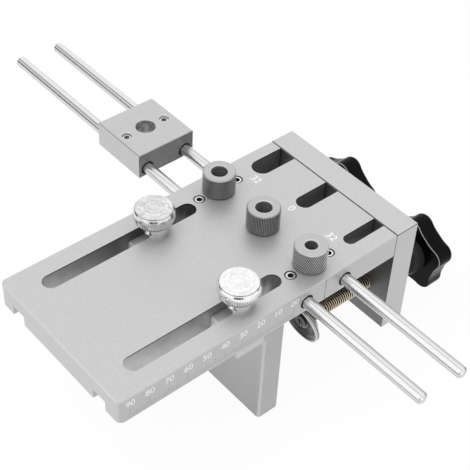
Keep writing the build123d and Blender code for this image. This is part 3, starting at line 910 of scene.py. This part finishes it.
def threaded_stud(name, start, end, y, material):
    """Helical thread along X between start and end, run out to the root at both tips."""
    turns = int((end - start) / THREAD_PITCH) + 1
    vertices, faces, levels, rows = [], [], [], []
    for turn in range(-1, turns + 1):
        for offset, level in THREAD_FORM:
            row = []
            for step in range(THREAD_SEGMENTS):
                part = step / THREAD_SEGMENTS
                along = start + (turn + offset + part) * THREAD_PITCH
                held = min(max(along, start), end)
                fade = min(THREAD_RUNOUT, held - start, end - held) / THREAD_RUNOUT
                radius = THREAD_ROOT_R + (THREAD_CREST_R - THREAD_ROOT_R) * level * fade
                row.append(len(vertices))
                vertices.append((held, y + radius * math.cos(part * math.tau),
                                 CLAMP_Z + radius * math.sin(part * math.tau)))
                levels.append(level)
            rows.append(row)
    # A row that has gone once round goes on in the row one turn further up the thread.
    a_turn = len(THREAD_FORM)
    for index, (low, high) in enumerate(zip(rows, rows[1:])):
        for step in range(THREAD_SEGMENTS - 1):
            faces.append([low[step], high[step], high[step + 1], low[step + 1]])
        if index + 1 + a_turn < len(rows):
            faces.append([low[-1], high[-1], rows[index + 1 + a_turn][0], rows[index + a_turn][0]])
    piece = mesh_object(name, vertices, faces, material)
    crest = piece.data.attributes.new("crest", "FLOAT", "POINT")
    crest.data.foreach_set("value", levels)
    mesh = bmesh.new()
    mesh.from_mesh(piece.data)
    bmesh.ops.remove_doubles(mesh, verts=mesh.verts, dist=1e-6)
    bmesh.ops.holes_fill(mesh, edges=[e for e in mesh.edges if e.is_boundary], sides=0)
    bmesh.ops.recalc_face_normals(mesh, faces=mesh.faces)
    mesh.to_mesh(piece.data)
    mesh.free()
    return piece


yellow_zinc = thread_zinc_material()
for label in ("near", "far"):
    low, high = box_mm(f"clamp_screw_{label}")
    stud = threaded_stud(f"threaded_stud_{label}", low[0], high[0],
                         middle(f"clamp_screw_{label}")[1], yellow_zinc)
    smooth_by_angle(stud, 40)
    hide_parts(f"clamp_screw_{label}")
    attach(stud, f"spindle_{label}")


# ---- pressure pads -----------------------------------------------------------
# Pressed steel dishes with a rolled rim, loose on their collars, painted with rings of reflection
# and shade: darker in the dish, bright on the rim.
# A flanged collar and a small cross recess screw hold each one on its clamp screw.
PAD_DROOP = math.radians(12)
PAD_AXIS = (-math.cos(PAD_DROOP), 0.0, -math.sin(PAD_DROOP))
PAD_PIVOT_IN_COLLAR = 2.8    # from the collar's outer face to the middle of the pad's hole
PAD_WALL_R = 11.86
PAD_TONES_R = 12.5           # radius at which the tones across the dish end
PAD_RINGS_AND_LIGHT_TONES = ((0.0, 120), (0.30, 120), (0.36, 60), (0.52, 130), (0.66, 76), (0.78, 118),
             (0.82, 84), (0.85, 210), (0.87, 80), (0.895, 70), (0.91, 236), (1.0, 240))
PAD_WALL_HEIGHT = 5.0        # height at which the tones along the wall end
PAD_WALL_RINGS_AND_LIGHT_TONES = ((0.0, 90), (0.3, 120), (0.46, 220), (0.55, 110), (0.62, 96), (0.7, 236),
                  (0.76, 120), (0.83, 232), (1.0, 240))


def pad_material(name, centre_y, pivot_x):
    """Pressed steel with rolled rings, and painted reflections and shade in rings: darker in the
    dish, bright on the rim.
    """
    material, tree, shader = new_material(name, 0.85, 0.3)
    from_pivot = add(tree, "ShaderNodeVectorMath",
                     [(0, place_mm(tree)), (1, (pivot_x, centre_y, CLAMP_Z))],
                     operation="SUBTRACT").outputs[0]
    along = add(tree, "ShaderNodeVectorMath", [(0, from_pivot), (1, PAD_AXIS)],
                operation="DOT_PRODUCT").outputs["Value"]
    reach = add(tree, "ShaderNodeVectorMath", [(0, from_pivot)],
                operation="LENGTH").outputs["Value"]
    squares = math_node(tree, "SUBTRACT", math_node(tree, "POWER", reach, 2.0),
                        math_node(tree, "POWER", along, 2.0))
    radius = math_node(tree, "SQRT", squares)
    # Painted reflections and shade in rings across the dish and up the wall.
    dish = tones(tree, math_node(tree, "DIVIDE", radius, PAD_TONES_R), PAD_RINGS_AND_LIGHT_TONES)
    wall = tones(tree, math_node(tree, "DIVIDE", along, PAD_WALL_HEIGHT), PAD_WALL_RINGS_AND_LIGHT_TONES)
    ringed = blend_colours(tree, above(tree, radius, PAD_WALL_R), dish, wall)
    cloud = add_grain(tree, shader, grain=0.3, cloud=4.0, depth=0.02, strength=0.4)
    paint(tree, shader, ringed, noise_spread(tree, cloud, 0.0, 0.35), grey(150))
    return material


dark_screw = zinc_steel("dark_pad_screw", 100, 0.4)
collar_steel = zinc_steel("dull_collar_steel", 128, 0.4)
for label in ("near", "far"):
    pivot_x = box_mm(f"pad_collar_{label}")[0][0] + PAD_PIVOT_IN_COLLAR
    steel = pad_material(f"pressed_pad_{label}", middle(f"clamp_screw_{label}")[1], pivot_x)
    dress(f"pressure_pad_{label}", steel)
    dress(f"pad_collar_{label}", collar_steel)
    dress(f"pad_screw_{label}", dark_screw)


# ---- star knobs --------------------------------------------------------------
# Black gloss plastic, moulded on the threaded studs, five lobes with rounded edges.
# A round hub stands on the screw side; the outer face is a shallow dome, faintly rippled.
HUB_LENGTH = 6.5
GLINT_X = (0.05, 0.32)      # span of the painted glint on the front edge, from the front plane outward
GLINT_Z = (-42.0, -32.0)    # the painted glint shows more toward the top


def gloss_black(name, front_x):
    """Glossy black moulding with a faint ripple, a painted grey reflection on the hub and a painted
    glint on its front edge.
    """
    material, tree, shader = new_material(name, 0.0, 0.2)
    at = use_group(tree, place_and_facing).outputs
    ripple = add_grain(tree, shader, grain=1.6, cloud=9.0, depth=0.03, strength=0.25)
    black = grey_between(tree, noise_spread(tree, ripple), 5, 11)
    # Painted grey reflection on the hub.
    hub = math_node(tree, "MULTIPLY", below(tree, at["X"], front_x - 0.1), 0.6)
    black = blend_colours(tree, hub, black, grey(70))
    # Painted glint along the front edge, stronger toward the top.
    front_edge = inside(tree, at["X"], *(front_x + depth for depth in GLINT_X))
    front_glint = overlap(tree, front_edge, spread(tree, at["Z"], *GLINT_Z, 0.1, 1.0))
    paint(tree, shader, black, front_glint, grey(165))
    tree.links.new(noise_spread(tree, ripple, 0.14, 0.24), shader.inputs["Roughness"])
    shader.inputs["Specular IOR Level"].default_value = 0.08
    return material


for label in ("near", "far"):
    front_x = box_mm(f"star_knob_{label}")[0][0] + HUB_LENGTH
    dress(f"star_knob_{label}", gloss_black(f"gloss_black_plastic_{label}", front_x))


# ---- studio ------------------------------------------------------------------
# White sweep under the jig, soft lamps from above and both sides, camera as the photo.
# Three black cards, seen only in reflections, give the bright steel its dark streaks.
FLOOR_Z = box_mm("stop_bracket")[0][2] - 0.1
FLOOR_HALF = 3000.0
WHITE_SHARE = 0.95           # how much of the floor's shadow the white sweep hides
CARDS = (("card_behind_camera", -42.0, 1300.0, 1000.0, 0.0, 500.0),
         ("card_left", -145.0, 1200.0, 700.0, -20.0, 340.0),
         ("card_right", 66.0, 1200.0, 600.0, -20.0, 340.0))
LAMPS = (("key_lamp", (-0.5, 0.2, 1.0), 0.7, 9.0), ("side_lamp", (0.6, -0.9, 0.5), 0.6, 4.0))
CAMERA_LENS = 91.157
CAMERA_AZIMUTH = math.radians(-42.349)
CAMERA_ELEVATION = math.radians(43.267)
CAMERA_ROLL = math.radians(2.998)
CAMERA_TARGET = Vector((-5.108, 13.128, 0.0)) * MM
CAMERA_DISTANCE = 567.602 * MM


def seen_rays(tree):
    """1 for camera, glossy and transmission rays, which see the white background."""
    rays = tree.nodes.new("ShaderNodeLightPath").outputs
    seen = math_node(tree, "ADD", rays["Is Camera Ray"], rays["Is Glossy Ray"])
    return math_node(tree, "ADD", seen, rays["Is Transmission Ray"], clamp=True)


def white_floor():
    """Pale floor that the camera and reflections see as white, still taking shadow."""
    material, tree, shader = new_material("white_floor", 0.0, 0.9)
    shader.inputs["Base Color"].default_value = (0.9, 0.9, 0.9, 1.0)
    glow = tree.nodes.new("ShaderNodeEmission")
    glow.inputs["Strength"].default_value = 1.0
    share = math_node(tree, "MULTIPLY", seen_rays(tree), WHITE_SHARE)
    mix = add(tree, "ShaderNodeMixShader",
              [(0, share), (1, shader.outputs[0]), (2, glow.outputs[0])])
    tree.links.new(mix.outputs[0], tree.nodes["Material Output"].inputs["Surface"])
    return material


def upright_card(name, azimuth, away, width, low, high, material):
    """Flat card standing round the jig, facing it; seen only in reflections."""
    turn = math.radians(azimuth)
    foot = Vector((math.sin(turn), -math.cos(turn), 0.0)) * away
    along = Vector((math.cos(turn), math.sin(turn), 0.0)) * width / 2
    corners = [foot - along + Vector((0, 0, low)), foot + along + Vector((0, 0, low)),
               foot + along + Vector((0, 0, high)), foot - along + Vector((0, 0, high))]
    card = mesh_object(name, corners, [[0, 1, 2, 3]], material)
    card.visible_camera = False
    card.visible_shadow = False
    card.visible_diffuse = False


def soft_lamp(name, place, size, watts):
    """Square soft box at a place in metres, aimed at the jig, unseen in reflections."""
    lamp = bpy.data.lights.new(name, "AREA")
    lamp.shape = "SQUARE"
    lamp.size = size
    lamp.energy = watts
    holder = bpy.data.objects.new(name, lamp)
    scene.collection.objects.link(holder)
    holder.location = place
    holder.visible_glossy = False
    holder.rotation_euler = (-Vector(place)).to_track_quat("-Z", "Y").to_euler()


floor_corners = [(x * FLOOR_HALF, y * FLOOR_HALF, FLOOR_Z)
                 for x, y in ((-1, -1), (1, -1), (1, 1), (-1, 1))]
floor = mesh_object("floor", floor_corners, [[0, 1, 2, 3]], white_floor())

black_card, tree, shader = new_material("black_card", 0.0, 0.9)
paint(tree, shader, grey(20), stain(tree, 60.0), grey(45))
for name, azimuth, away, width, low, high in CARDS:
    upright_card(name, azimuth, away, width, low, high, black_card)

world = bpy.data.worlds.new("studio")
scene.world = world
world.use_nodes = True
background = world.node_tree.nodes["Background"]
background.inputs["Color"].default_value = (1, 1, 1, 1)
sky_level = spread(world.node_tree, seen_rays(world.node_tree), 0.0, 1.0, 0.55, 1.0)
world.node_tree.links.new(sky_level, background.inputs["Strength"])

for name, place, size, watts in LAMPS:
    soft_lamp(name, place, size, watts)

camera_data = bpy.data.cameras.new("photo_camera")
camera_data.lens = CAMERA_LENS
camera_data.sensor_width = 36.0
camera_data.clip_start = 0.01
camera = bpy.data.objects.new("photo_camera", camera_data)
scene.collection.objects.link(camera)
scene.camera = camera
backward = Vector((math.sin(CAMERA_AZIMUTH) * math.cos(CAMERA_ELEVATION),
                   -math.cos(CAMERA_AZIMUTH) * math.cos(CAMERA_ELEVATION),
                   math.sin(CAMERA_ELEVATION)))
right = (-backward).cross(Vector((0, 0, 1))).normalized()
up = right.cross(-backward)
rolled_right = right * math.cos(CAMERA_ROLL) + up * math.sin(CAMERA_ROLL)
rolled_up = up * math.cos(CAMERA_ROLL) - right * math.sin(CAMERA_ROLL)
turned = Matrix((rolled_right, rolled_up, backward)).transposed().to_4x4()
camera.matrix_world = Matrix.Translation(CAMERA_TARGET + backward * CAMERA_DISTANCE) @ turned
scene.view_settings.view_transform = "Standard"

bpy.context.view_layer.update()
